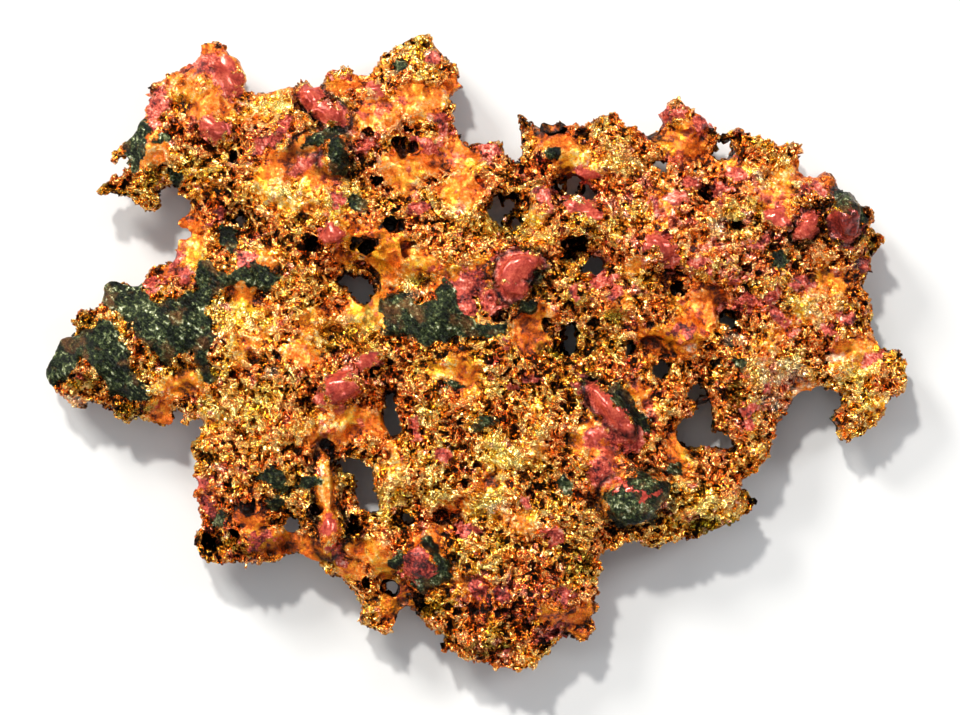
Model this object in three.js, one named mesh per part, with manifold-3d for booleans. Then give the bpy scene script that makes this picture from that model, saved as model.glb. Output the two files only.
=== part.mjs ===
// Native copper nugget.
// One flat, ragged piece of natural copper, 40 mm long, lying on its broad side.
// It grew as a single spongy mass, so it is one solid: a thick irregular plate
// with a jagged outline, holes right through it, lumps on its face and a worn underside
// that stands on several small flats. Millimetres, +Z up, origin at the middle of the base.

import * as THREE from 'three';
import { mergeVertices } from 'three/addons/utils/BufferGeometryUtils.js';
import Module from 'manifold-3d';

// ---- Driving dimensions (mm) ----

const MIDDLE_HEIGHT = 2.35;  // height of the plate's middle surface above the ground
const RIM_HALF = 0.45;       // half the thickness left at the outline and round each hole
const FACE_SWELL = 1.55;     // how far the face rises above the rim, well inside the outline
const FACE_REACH = 1.3;      // distance from an edge over which most of that rise happens
const UNDER_SWELL = 1.6;     // the same for the underside, which is a little thicker
const UNDER_REACH = 1.1;
const WARP = 0.3;            // slow rise and fall of the whole plate
const LUMPINESS = 0.24;      // small lumps over both sides
const FOOT_DEPTH = 0.75;     // how far a foot swells below its surroundings
const HOLE_TAPER = 1.7;      // edges thin this much faster round a hole than at the outline
const GRID_STEP = 0.84;      // size of the facets on the face and the underside
const GRID_HALF_X = 21;      // the relief slab reaches past the outline on every side
const GRID_HALF_Y = 15.96;
const CUTTER_HEIGHT = 9;     // height of the outline's prism, which starts on the ground

const COPPER = { color: 0xb8733a, metalness: 1, roughness: 0.38 };

// ---- Outline, clockwise from the west tip, one list for each stretch ----

const westTip = [
  [-20.05, -0.9], [-19.7, -0.3], [-19.3, 0.75], [-18.35, 0.9], [-18.6, 1.4], [-18.25, 2.0],
  [-17.6, 1.95], [-17.35, 2.5], [-17.25, 3.25], [-16.8, 3.45], [-15.6, 3.05], [-15.2, 3.95],
  [-14.0, 4.2], [-13.85, 5.25], [-13.4, 5.2],
];

const claw = [
  [-13.05, 5.4], [-13.75, 5.85], [-13.75, 6.3], [-13.35, 6.15], [-13.4, 6.75], [-13.2, 7.1],
  [-13.75, 7.35], [-14.15, 8.0], [-14.3, 7.7], [-14.7, 7.55], [-14.6, 7.0], [-14.75, 6.6],
  [-15.1, 6.5], [-15.75, 7.05], [-16.9, 7.35], [-17.6, 7.3], [-17.55, 7.5], [-17.1, 7.95],
  [-16.1, 8.4], [-16.15, 9.15], [-16.5, 9.15], [-16.85, 8.65], [-16.95, 9.05], [-16.35, 9.75],
  [-15.95, 10.05], [-15.55, 10.75],
];

const northWestLobe = [
  [-15.35, 10.9], [-15.45, 11.2], [-15.15, 11.9], [-15.35, 12.2], [-15.05, 12.6], [-14.7, 12.55],
  [-13.9, 13.1], [-12.95, 13.75], [-12.85, 14.3], [-12.2, 14.55], [-11.6, 14.3], [-11.4, 13.5],
  [-11.0, 13.2], [-11.05, 12.4], [-10.65, 11.85], [-9.9, 12.1], [-8.9, 12.4], [-8.2, 12.45],
  [-7.9, 12.65], [-7.65, 12.6], [-7.8, 12.1], [-7.6, 12.05], [-7.1, 12.65], [-6.95, 13.05],
  [-6.0, 13.25], [-5.5, 12.8], [-5.0, 12.85], [-4.95, 12.5],
];

const northLobe = [
  [-4.9, 13.1], [-4.45, 13.95], [-3.95, 14.2], [-3.4, 14.5], [-2.9, 14.7], [-2.2, 14.8],
  [-1.75, 14.3], [-1.5, 13.8], [-1.2, 13.4], [-0.7, 12.95], [-0.85, 12.6], [-0.5, 12.3],
  [-1.05, 12.0], [-1.15, 11.6], [-0.85, 11.4], [-1.05, 10.7], [-0.75, 10.45], [-0.8, 10.0],
];

const northNotch = [
  [-0.45, 9.55], [0.2, 9.7], [0.95, 9.75], [1.5, 8.95], [1.75, 8.8], [2.05, 8.9],
  [2.05, 9.8], [1.9, 11.15], [2.4, 10.85], [2.7, 10.65], [3.4, 10.5], [4.2, 10.65],
  [4.9, 10.55], [5.6, 10.85], [6.4, 11.2], [6.9, 10.7], [7.6, 10.4], [7.9, 10.15],
  [8.5, 10.45], [8.25, 11.05], [8.6, 11.2], [9.0, 11.7], [9.4, 11.8], [9.9, 11.2],
  [10.9, 10.75], [11.35, 10.1], [11.2, 9.55], [10.85, 9.3], [10.9, 9.0], [11.5, 8.95],
  [11.9, 9.3], [11.55, 9.85], [11.7, 10.35], [12.1, 10.4], [12.9, 10.05],
];

const eastShoulder = [
  [14.0, 9.45], [14.9, 9.8], [15.0, 9.0], [15.2, 8.25], [16.35, 8.45], [16.85, 7.95],
  [16.7, 7.6], [17.4, 7.5], [17.85, 6.85], [18.2, 6.6], [18.5, 6.3], [18.1, 5.85],
  [18.35, 5.6], [18.8, 5.45], [18.85, 4.85], [18.45, 4.35], [18.3, 3.8], [17.85, 3.2],
  [18.35, 2.15], [18.4, 1.6], [18.25, 1.3], [18.6, 0.65], [18.95, 0.15], [19.4, 0.3],
];

const eastHook = [
  [19.7, 0.1], [20.05, -0.55], [19.75, -1.1], [19.95, -1.4], [19.8, -1.75], [19.0, -2.0],
  [18.9, -2.65], [18.45, -3.4], [18.1, -3.75], [17.2, -4.2], [16.75, -4.0], [16.7, -3.4],
  [16.25, -3.1], [16.8, -2.5], [16.9, -1.8], [15.9, -1.55], [14.9, -2.0],
];

const southEastShoulder = [
  [14.5, -2.75], [13.7, -3.35], [13.6, -4.7], [12.95, -5.3], [12.2, -6.1], [12.55, -6.5],
  [13.0, -6.65], [12.95, -7.1], [12.5, -7.6], [11.5, -7.9], [10.9, -8.2], [10.1, -8.75],
  [9.7, -8.5], [8.7, -8.75], [7.9, -9.1], [7.3, -8.7], [6.2, -9.1], [5.95, -8.85],
];

const southLobe = [
  [5.8, -9.2], [5.45, -9.5], [5.8, -10.0], [5.65, -10.4], [5.7, -11.0], [5.45, -11.4],
  [5.85, -11.9], [5.3, -12.1], [5.6, -12.75], [4.9, -13.45], [4.0, -13.15], [3.3, -14.0],
  [2.7, -14.6], [2.1, -14.8], [1.0, -14.65], [0.0, -14.4], [-1.0, -13.9], [-1.85, -13.75],
  [-1.3, -13.4], [-2.4, -12.6], [-2.9, -12.0], [-3.3, -11.9], [-3.6, -12.1], [-3.55, -12.5],
  [-4.2, -13.05], [-4.5, -12.75], [-5.0, -12.8], [-5.5, -12.5], [-5.25, -11.8], [-5.85, -11.1],
];

const southWestLobe = [
  [-6.1, -10.8], [-6.4, -10.4], [-6.9, -10.3], [-7.4, -9.6], [-8.4, -9.25], [-9.5, -9.75],
  [-10.2, -9.85], [-11.3, -9.7], [-12.0, -9.85], [-12.6, -9.75], [-13.2, -8.85], [-13.0, -8.3],
  [-12.75, -8.2], [-12.7, -7.7], [-12.95, -7.3], [-12.75, -6.8], [-13.1, -6.65], [-12.8, -6.0],
  [-13.25, -5.6], [-12.85, -5.0], [-13.25, -4.3], [-12.8, -4.0], [-12.5, -3.15],
];

const westBay = [
  [-13.2, -2.95], [-13.55, -3.35], [-13.65, -3.2], [-13.35, -2.55], [-14.0, -2.7], [-14.1, -3.45],
  [-14.6, -3.5], [-15.8, -3.05], [-16.35, -3.35], [-16.8, -2.75], [-17.5, -2.3], [-18.0, -2.35],
  [-18.4, -2.65], [-19.2, -2.1], [-19.6, -1.75],
];

const outline = [
  westTip, claw, northWestLobe, northLobe, northNotch, eastShoulder,
  eastHook, southEastShoulder, southLobe, southWestLobe, westBay,
].flat();

// ---- Holes right through the plate ----

const holes = [
  // North-west quarter
  [[-11.15, 6.45], [-10.6, 6.4], [-10.6, 5.95], [-10.95, 5.8], [-11.2, 6.05]],
  [[-6.55, 3.05], [-6.14, 3.7], [-5.6, 3.4], [-5.2, 3.5], [-4.8, 2.95], [-5.0, 2.2], [-5.6, 2.35], [-5.9, 2.9]],
  [[-6.5, 0.7], [-6.3, 1.1], [-6.05, 1.0], [-6.15, 0.6]],
  [[-4.25, -0.95], [-3.95, -1.0], [-4.0, -1.4], [-4.2, -1.35]],
  // The long slot in the middle and the big window below it
  [[-4.25, -1.7], [-3.9, -1.75], [-3.75, -2.5], [-3.6, -3.1], [-3.3, -3.6], [-4.0, -3.95], [-4.2, -3.0]],
  [[-6.5, -4.8], [-5.6, -4.9], [-5.0, -5.2], [-4.6, -6.3], [-4.5, -7.3], [-5.2, -7.4], [-5.6, -6.9],
    [-5.65, -5.7], [-6.4, -5.35]],
  // South-west quarter
  [[-1.85, -7.55], [-1.35, -7.5], [-1.4, -7.85], [-1.8, -7.8]],
  [[-3.15, -6.95], [-2.9, -7.2], [-2.95, -7.7], [-3.25, -7.95], [-3.45, -7.75], [-3.2, -7.45]],
  [[-8.98, -7.62], [-8.5, -7.7], [-8.2, -8.05], [-8.4, -8.25], [-8.8, -8.1]],
  [[-4.25, -10.7], [-3.9, -10.65], [-3.8, -11.2], [-4.15, -11.25]],
  [[-1.35, -12.75], [-0.9, -12.45], [-0.25, -12.4], [-0.9, -12.85], [-1.2, -12.95]],
  // Middle, towards the east, with the mouths of three deep pits
  [[1.4, 6.35], [1.85, 6.3], [1.85, 5.9], [1.45, 5.95]],
  [[4.9, 7.65], [5.4, 7.4], [5.25, 7.1], [4.9, 7.25]],
  [[5.1, 4.1], [5.6, 4.0], [5.7, 3.65], [5.2, 3.7]],
  [[4.95, 0.6], [5.35, 0.6], [5.3, 0.3], [4.95, 0.35]],
  [[4.05, 1.15], [4.3, 1.35], [4.62, 1.2], [4.6, 0.3], [4.3, -0.15], [4.05, 0.0]],
  [[6.75, 0.3], [7.05, 0.5], [7.3, 0.25], [7.1, -0.25], [6.8, -0.15]],
  [[8.4, -0.3], [8.8, -0.4], [8.85, -0.8], [8.5, -1.15], [8.05, -1.1], [8.25, -0.7]],
  [[9.0, 3.1], [9.3, 3.05], [9.3, 2.65], [9.05, 2.65]],
  [[10.35, 2.4], [10.7, 2.35], [10.65, 2.0], [10.4, 2.05]],
  [[11.35, 1.7], [11.85, 1.9], [11.9, 1.5], [11.75, 0.95], [11.45, 1.3]],
  [[10.75, -0.3], [11.5, -0.35], [11.4, -0.8], [11.0, -0.6]],
  // The big branching hole in the south-east
  [[10.05, -1.5], [10.35, -1.6], [10.7, -2.4], [10.9, -3.1], [10.7, -3.75], [11.4, -3.8], [12.05, -4.4],
    [11.8, -4.75], [11.2, -4.25], [9.6, -4.25], [9.35, -3.9], [9.4, -3.15], [10.2, -2.9], [10.35, -2.2],
    [9.5, -2.1]],
  // North-east quarter
  [[7.75, 8.85], [8.3, 8.8], [9.0, 8.85], [8.9, 8.55], [8.45, 8.25], [8.1, 8.5]],
  [[8.9, 9.95], [9.2, 9.95], [9.15, 9.5], [8.9, 9.55]],
  [[9.9, 8.6], [10.35, 8.65], [10.35, 8.2], [9.95, 8.2]],
  [[10.55, 8.6], [10.9, 8.5], [11.05, 8.1], [10.85, 7.95], [10.6, 8.2]],
  [[15.95, -0.2], [16.4, -0.3], [16.35, -0.7], [16.0, -0.6]],
];

// ---- Lumps and hollows of the face: place, half-widths, turn in degrees, rise ----

const faceForms = [
  { at: [2.0, 3.5], half: [1.3, 1.4], turn: 0, rise: 0.7 },       // red dome
  { at: [17.0, 6.1], half: [1.2, 1.2], turn: 0, rise: 0.95 },     // ball near the east shoulder
  { at: [7.3, -6.7], half: [2.0, 1.4], turn: 10, rise: 0.9 },     // smooth dark lump
  { at: [-6.9, 9.2], half: [1.4, 1.3], turn: 0, rise: 0.6 },      // curled lump
  { at: [-6.8, -7.3], half: [0.8, 2.2], turn: 0, rise: 0.8 },     // ridge beside the window
  { at: [-3.0, -9.8], half: [1.5, 1.6], turn: 30, rise: 0.45 },
  { at: [-6.2, -1.6], half: [1.5, 1.1], turn: 20, rise: 0.6 },
  { at: [-6.6, 5.4], half: [1.1, 0.9], turn: 0, rise: 0.5 },
  { at: [-7.3, 11.3], half: [1.3, 1.0], turn: 40, rise: 0.5 },
  { at: [-12.2, 12.6], half: [1.0, 1.6], turn: 20, rise: 0.45 },
  { at: [-12.0, 10.2], half: [1.1, 0.9], turn: 0, rise: 0.45 },
  { at: [14.8, 5.8], half: [1.4, 1.0], turn: 20, rise: 0.55 },
  { at: [6.4, -3.0], half: [2.2, 1.0], turn: -50, rise: 0.5 },
  { at: [5.0, 6.4], half: [1.8, 1.0], turn: -20, rise: 0.45 },
  { at: [11.0, 6.6], half: [2.4, 1.2], turn: 10, rise: 0.35 },
  { at: [3.3, -12.0], half: [1.8, 1.4], turn: 0, rise: 0.35 },
  { at: [-14.6, 1.2], half: [3.2, 1.9], turn: -25, rise: 0.3 },   // scratched plate in the west
  { at: [-1.8, 1.7], half: [2.9, 1.1], turn: 0, rise: 0.2 },      // scratched plate in the middle
  { at: [1.2, 6.5], half: [1.2, 1.1], turn: 0, rise: -1.7 },      // deep pits
  { at: [4.6, 7.7], half: [1.1, 0.9], turn: 0, rise: -1.2 },
  { at: [4.9, 4.4], half: [1.2, 1.0], turn: 0, rise: -1.3 },
  { at: [-6.2, -6.3], half: [0.9, 1.5], turn: 0, rise: -1.5 },    // ledge inside the window
  { at: [-3.3, 9.7], half: [1.0, 0.9], turn: 0, rise: -0.8 },
  { at: [-4.7, 8.0], half: [0.8, 0.8], turn: 0, rise: -0.6 },
  { at: [12.0, 5.7], half: [0.9, 0.7], turn: 0, rise: -0.7 },
  { at: [-12.4, -8.8], half: [0.9, 0.8], turn: 0, rise: -0.6 },
];

// ---- Feet of the underside: place and half-widths ----

const feet = [
  { at: [-16.6, 0.0], half: [2.2, 1.9] },
  { at: [-12.6, 11.6], half: [2.2, 2.0] },
  { at: [-3.0, 12.4], half: [1.9, 1.9] },
  { at: [-0.2, 1.4], half: [2.6, 2.2] },
  { at: [6.4, 9.0], half: [1.9, 1.5] },
  { at: [15.6, 5.0], half: [2.2, 2.4] },
  { at: [17.6, -1.0], half: [1.6, 1.5] },
  { at: [8.0, -6.6], half: [2.3, 1.9] },
  { at: [2.2, -12.2], half: [2.4, 2.0] },
  { at: [-10.6, -7.0], half: [2.2, 2.0] },
];

// ---- Distances and heights ----

function distanceToLoop(x, y, loop) {
  let nearest = Infinity;
  loop.forEach(([ax, ay], index) => {
    const [bx, by] = loop[(index + 1) % loop.length];
    const along = ((x - ax) * (bx - ax) + (y - ay) * (by - ay)) / ((bx - ax) ** 2 + (by - ay) ** 2);
    const t = THREE.MathUtils.clamp(along, 0, 1);
    nearest = Math.min(nearest, Math.hypot(x - ax - t * (bx - ax), y - ay - t * (by - ay)));
  });
  return nearest;
}

// How deep inside the plate a point is, from its nearest edge.
function depthInside(x, y) {
  const fromHoles = holes.map((hole) => distanceToLoop(x, y, hole) * HOLE_TAPER);
  return Math.min(distanceToLoop(x, y, outline), ...fromHoles);
}

// A smooth mound, 1 at its middle and 0 at its border.
function mound(x, y, { at, half, turn = 0 }) {
  const angle = THREE.MathUtils.degToRad(turn);
  const dx = x - at[0];
  const dy = y - at[1];
  const u = (dx * Math.cos(angle) + dy * Math.sin(angle)) / half[0];
  const v = (dy * Math.cos(angle) - dx * Math.sin(angle)) / half[1];
  return Math.max(0, 1 - u * u - v * v);
}

function middleHeight(x, y) {
  const slow = Math.sin(0.21 * x + 0.4) + Math.sin(0.26 * y - 0.17 * x + 1.3);
  return MIDDLE_HEIGHT + WARP * 0.5 * slow;
}

function lumps(x, y, phase) {
  const wide = Math.sin(1.31 * x + 0.63 * y + phase) * Math.sin(0.71 * x - 1.17 * y + 2 * phase);
  const narrow = Math.sin(2.37 * x - 1.9 * y + 3 * phase) * Math.sin(1.83 * x + 2.61 * y + phase);
  return LUMPINESS * (wide + 0.6 * narrow);
}

function swell(depth, reach) {
  return 1 - Math.exp(-depth / reach);
}

function faceHeight(x, y) {
  const full = swell(depthInside(x, y), FACE_REACH);
  const forms = faceForms.reduce((sum, form) => sum + form.rise * mound(x, y, form), 0);
  const rise = FACE_SWELL * full + (forms + lumps(x, y, 0.5)) * Math.min(1, 2 * full);
  return middleHeight(x, y) + RIM_HALF + Math.max(-RIM_HALF, rise);
}

function underHeight(x, y) {
  const full = swell(depthInside(x, y), UNDER_REACH);
  const foot = Math.max(...feet.map((place) => mound(x, y, place)));
  const drop = UNDER_SWELL * full + (FOOT_DEPTH * foot + lumps(x, y, 2.1)) * full;
  return middleHeight(x, y) - RIM_HALF - drop;
}

// ---- Solids ----

// A closed slab over the whole plate, with the face as its top and the underside below.
function reliefSlab() {
  const columns = Math.round((2 * GRID_HALF_X) / GRID_STEP);
  const rows = Math.round((2 * GRID_HALF_Y) / GRID_STEP);
  const layer = (columns + 1) * (rows + 1);
  const positions = new Float32Array(layer * 2 * 3);
  for (let row = 0; row <= rows; row += 1) {
    for (let column = 0; column <= columns; column += 1) {
      const x = -GRID_HALF_X + column * GRID_STEP;
      const y = -GRID_HALF_Y + row * GRID_STEP;
      const place = row * (columns + 1) + column;
      positions.set([x, y, faceHeight(x, y)], place * 3);
      positions.set([x, y, underHeight(x, y)], (layer + place) * 3);
    }
  }

  const triangles = [];
  const addQuad = (a, b, c, d) => triangles.push(a, b, c, a, c, d);
  for (let row = 0; row < rows; row += 1) {
    for (let column = 0; column < columns; column += 1) {
      const a = row * (columns + 1) + column;
      const corners = [a, a + 1, a + columns + 2, a + columns + 1];
      const first = (row + column) % 2;
      const turned = corners.map((_, index) => corners[(index + first) % 4]);
      addQuad(...turned);
      addQuad(...turned.map((corner) => corner + layer).reverse());
    }
  }

  const border = [];
  for (let column = 0; column < columns; column += 1) border.push(column);
  for (let row = 0; row < rows; row += 1) border.push(row * (columns + 1) + columns);
  for (let column = columns; column > 0; column -= 1) border.push(rows * (columns + 1) + column);
  for (let row = rows; row > 0; row -= 1) border.push(row * (columns + 1));
  border.forEach((a, index) => {
    const b = border[(index + 1) % border.length];
    addQuad(a, a + layer, b + layer, b);
  });

  const geometry = new THREE.BufferGeometry();
  geometry.setAttribute('position', new THREE.BufferAttribute(positions, 3));
  geometry.setIndex(triangles);
  return geometry;
}

// The outline with its holes, as a prism that stands on the ground.
// Turned anticlockwise, the outline lets ExtrudeGeometry face the walls of every hole itself.
function outlinePrism() {
  const asPoints = (loop) => loop.map(([x, y]) => new THREE.Vector2(x, y));
  const shape = new THREE.Shape(asPoints(outline).reverse());
  shape.holes = holes.map((hole) => new THREE.Path(asPoints(hole)));
  return new THREE.ExtrudeGeometry(shape, { depth: CUTTER_HEIGHT, bevelEnabled: false });
}

const wasm = await Module();
wasm.setup();

function toSolid(geometry) {
  const bare = geometry.clone();
  bare.deleteAttribute('normal');
  bare.deleteAttribute('uv');
  const merged = mergeVertices(bare, 1e-5);
  return new wasm.Manifold(new wasm.Mesh({
    numProp: 3,
    vertProperties: new Float32Array(merged.attributes.position.array),
    triVerts: new Uint32Array(merged.index.array),
  }));
}

function toGeometry(solid) {
  const { vertProperties, triVerts } = solid.getMesh();
  const geometry = new THREE.BufferGeometry();
  geometry.setAttribute('position', new THREE.BufferAttribute(vertProperties, 3));
  geometry.setIndex(new THREE.BufferAttribute(triVerts, 1));
  geometry.computeVertexNormals();
  return geometry;
}

// ---- The nugget ----

const nugget = new THREE.Group();
const body = toSolid(reliefSlab()).intersect(toSolid(outlinePrism()));
const copper = new THREE.Mesh(toGeometry(body), new THREE.MeshStandardMaterial(COPPER));
copper.name = 'copper_nugget';
nugget.add(copper);

export default nugget;
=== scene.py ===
# %% [markdown]
# # A native copper nugget
#
# Native copper grows as metal in the cracks and bubbles of old lava. This nugget is one flat, spongy mass
# of it, 40 mm long: hackly crystals and wires of bright copper, dark plates where it lay against rock,
# and glossy red skins of copper oxide. The frame already holds its outline, its holes and its thickness.
# This lesson gives that plain solid the surface of the real thing.

# %% The frame and its measures
import math

import bpy
import numpy as np
from mathutils import Matrix, Vector, noise


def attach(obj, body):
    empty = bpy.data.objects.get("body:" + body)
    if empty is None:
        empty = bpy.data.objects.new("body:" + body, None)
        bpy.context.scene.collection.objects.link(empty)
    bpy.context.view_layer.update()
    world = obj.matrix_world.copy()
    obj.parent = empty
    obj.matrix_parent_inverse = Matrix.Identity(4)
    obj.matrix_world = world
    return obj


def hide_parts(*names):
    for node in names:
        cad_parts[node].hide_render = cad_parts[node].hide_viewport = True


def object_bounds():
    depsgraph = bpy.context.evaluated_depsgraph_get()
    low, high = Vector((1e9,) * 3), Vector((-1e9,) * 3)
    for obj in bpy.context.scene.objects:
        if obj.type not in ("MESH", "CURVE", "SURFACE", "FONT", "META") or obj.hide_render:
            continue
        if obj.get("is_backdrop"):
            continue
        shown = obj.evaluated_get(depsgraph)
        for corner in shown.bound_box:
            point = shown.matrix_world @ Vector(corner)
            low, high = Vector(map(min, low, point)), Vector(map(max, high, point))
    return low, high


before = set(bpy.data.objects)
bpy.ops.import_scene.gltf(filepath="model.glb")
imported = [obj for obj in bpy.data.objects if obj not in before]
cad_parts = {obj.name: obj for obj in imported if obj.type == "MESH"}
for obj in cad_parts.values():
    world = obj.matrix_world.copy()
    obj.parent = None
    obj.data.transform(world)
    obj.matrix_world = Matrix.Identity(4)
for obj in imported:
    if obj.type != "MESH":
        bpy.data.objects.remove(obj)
cad_low, cad_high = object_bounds()
bpy.ops.object.select_all(action="DESELECT")

MM = 0.001
NUGGET_LENGTH = 40.1  # the length, in millimetres, that the places below are given for
unit = (cad_high.x - cad_low.x) / NUGGET_LENGTH
print(f"one millimetre of the nugget is {unit / MM:.3f} mm, and it is {cad_high.z / MM:.2f} mm high")

# %% [markdown]
# ## The studio
#
# A specimen this small is looked at from straight above with a long lens, so that its outline keeps its
# proportions. A pale sheet lies under it. Bare metal shows nothing but what surrounds it, so its look is
# made by the soft boxes: large dim ones give every facet something to mirror, a small bright one among
# them gives the crisp glints, and the dark room between them gives the deep tones.

# %% The camera
VIEW_WIDTH = 44.19 * MM
LENS = 150.0
FACE_LEVEL = 3.5 * MM

camera_data = bpy.data.cameras.new("camera")
camera_data.lens = LENS
camera_data.sensor_width = 36.0
camera_data.clip_start = 0.005
camera_data.clip_end = 10.0
camera = bpy.data.objects.new("camera", camera_data)
bpy.context.scene.collection.objects.link(camera)
camera_rise = VIEW_WIDTH * LENS / camera_data.sensor_width
camera.location = (0.16 * MM, -0.23 * MM, FACE_LEVEL + camera_rise)
bpy.context.scene.camera = camera
print(f"the camera is {camera_rise / MM:.0f} mm above the face")

# %% The lights and the room


def soft_box(name, place, width, brightness, colour=(1.0, 1.0, 1.0)):
    """A square soft box at place, in millimetres, that faces the nugget and looks this bright in a mirror."""
    light = bpy.data.lights.new(name, "AREA")
    light.size = width * MM
    light.energy = brightness * math.pi * light.size**2
    light.color = colour
    lamp = bpy.data.objects.new(name, light)
    bpy.context.scene.collection.objects.link(lamp)
    lamp.location = Vector(place) * MM
    lamp.rotation_euler = (-lamp.location).to_track_quat("-Z", "Y").to_euler()
    return lamp


WARM = (1.0, 0.965, 0.90)
soft_box("top_box", (-60, 90, 460), 400, 0.65)
soft_box("key_box", (-230, 260, 250), 110, 32.0, WARM)
soft_box("glint_box", (-90, 240, 350), 30, 410.0, WARM)
soft_box("east_box", (330, 150, 230), 110, 15.0)
soft_box("west_box", (-340, -60, 200), 90, 9.0)
soft_box("south_box", (90, -340, 280), 90, 5.0)

room = bpy.data.worlds.new("room")
room.use_nodes = True
room.node_tree.nodes["Background"].inputs["Color"].default_value = (0.93, 0.96, 1.0, 1.0)
room.node_tree.nodes["Background"].inputs["Strength"].default_value = 0.2
bpy.context.scene.world = room

view_settings = bpy.context.scene.view_settings
view_settings.view_transform = "Standard"
view_settings.exposure = 0.0

# %% [markdown]
# ## Wiring nodes by code
#
# Both the shapes and the finishes below are node graphs. A small helper keeps them readable: each of its
# methods adds one node, takes numbers or other nodes' outputs, and gives back the new node's output.

# %% A helper for node graphs


class Graph:
    """Adds nodes to a tree. Any input may be a number, a colour or another node's output."""

    def __init__(self, tree):
        self.tree = tree

    def put(self, socket, value):
        if isinstance(value, bpy.types.NodeSocket):
            self.tree.links.new(value, socket)
        elif value is not None:
            socket.default_value = value

    def add(self, kind, values=(), **settings):
        made = self.tree.nodes.new(kind)
        for name, setting in settings.items():
            setattr(made, name, setting)
        for key, value in dict(values).items():
            self.put(made.inputs[key], value)
        return made

    def math(self, operation, a, b=None, c=None):
        return self.add("ShaderNodeMath", {0: a, 1: b, 2: c}, operation=operation).outputs[0]

    def plus(self, total, value, weight):
        """The total, with this much of a value added to it."""
        return self.math("MULTIPLY_ADD", value, weight, total)

    def times(self, a, b):
        return self.math("MULTIPLY", a, b)

    def centred(self, value):
        """A value that lies round a half, shifted to lie round nothing."""
        return self.math("SUBTRACT", value, 0.5)

    def vector(self, operation, a, b=None):
        made = self.add("ShaderNodeVectorMath", {0: a}, operation=operation)
        if operation == "SCALE":
            self.put(made.inputs["Scale"], b)
        else:
            self.put(made.inputs[1], b)
        return made.outputs["Value" if operation in ("DOT_PRODUCT", "LENGTH", "DISTANCE") else "Vector"]

    def height_of(self, vector):
        return self.add("ShaderNodeSeparateXYZ", {0: vector}).outputs[2]

    def at_height(self, vector, height):
        """The vector with this height in place of its own."""
        parts = self.add("ShaderNodeSeparateXYZ", {0: vector})
        values = {0: parts.outputs[0], 1: parts.outputs[1], 2: height}
        return self.add("ShaderNodeCombineXYZ", values).outputs[0]

    def remap(self, value, low, high, new_low=0.0, new_high=1.0, steps="LINEAR"):
        values = {"Value": value, "From Min": low, "From Max": high, "To Min": new_low, "To Max": new_high}
        return self.add("ShaderNodeMapRange", values, interpolation_type=steps, clamp=True).outputs[0]

    def noise(self, place, scale, detail=2.0, roughness=0.5):
        values = {"Vector": place, "Scale": scale, "Detail": detail, "Roughness": roughness}
        return self.add("ShaderNodeTexNoise", values).outputs[0]

    def cells(self, place, scale, output="Distance"):
        return self.add("ShaderNodeTexVoronoi", {"Vector": place, "Scale": scale}).outputs[output]

    def mix(self, a, b, amount):
        values = {"Factor": amount, "A": a, "B": b}
        return self.add("ShaderNodeMix", values, data_type="FLOAT").outputs[0]

    def blend(self, a, b, amount, kind="MIX"):
        made = self.add("ShaderNodeMix", {0: amount}, data_type="RGBA", blend_type=kind)
        self.put(made.inputs[6], a)
        self.put(made.inputs[7], b)
        return made.outputs[2]

    def ramp(self, value, stops):
        made = self.add("ShaderNodeValToRGB", {0: value})
        while len(made.color_ramp.elements) < len(stops):
            made.color_ramp.elements.new(1.0)
        for element, (place, colour) in zip(made.color_ramp.elements, stops):
            element.position = place
            element.color = (*colour, 1.0)
        return made.outputs[0]
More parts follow.
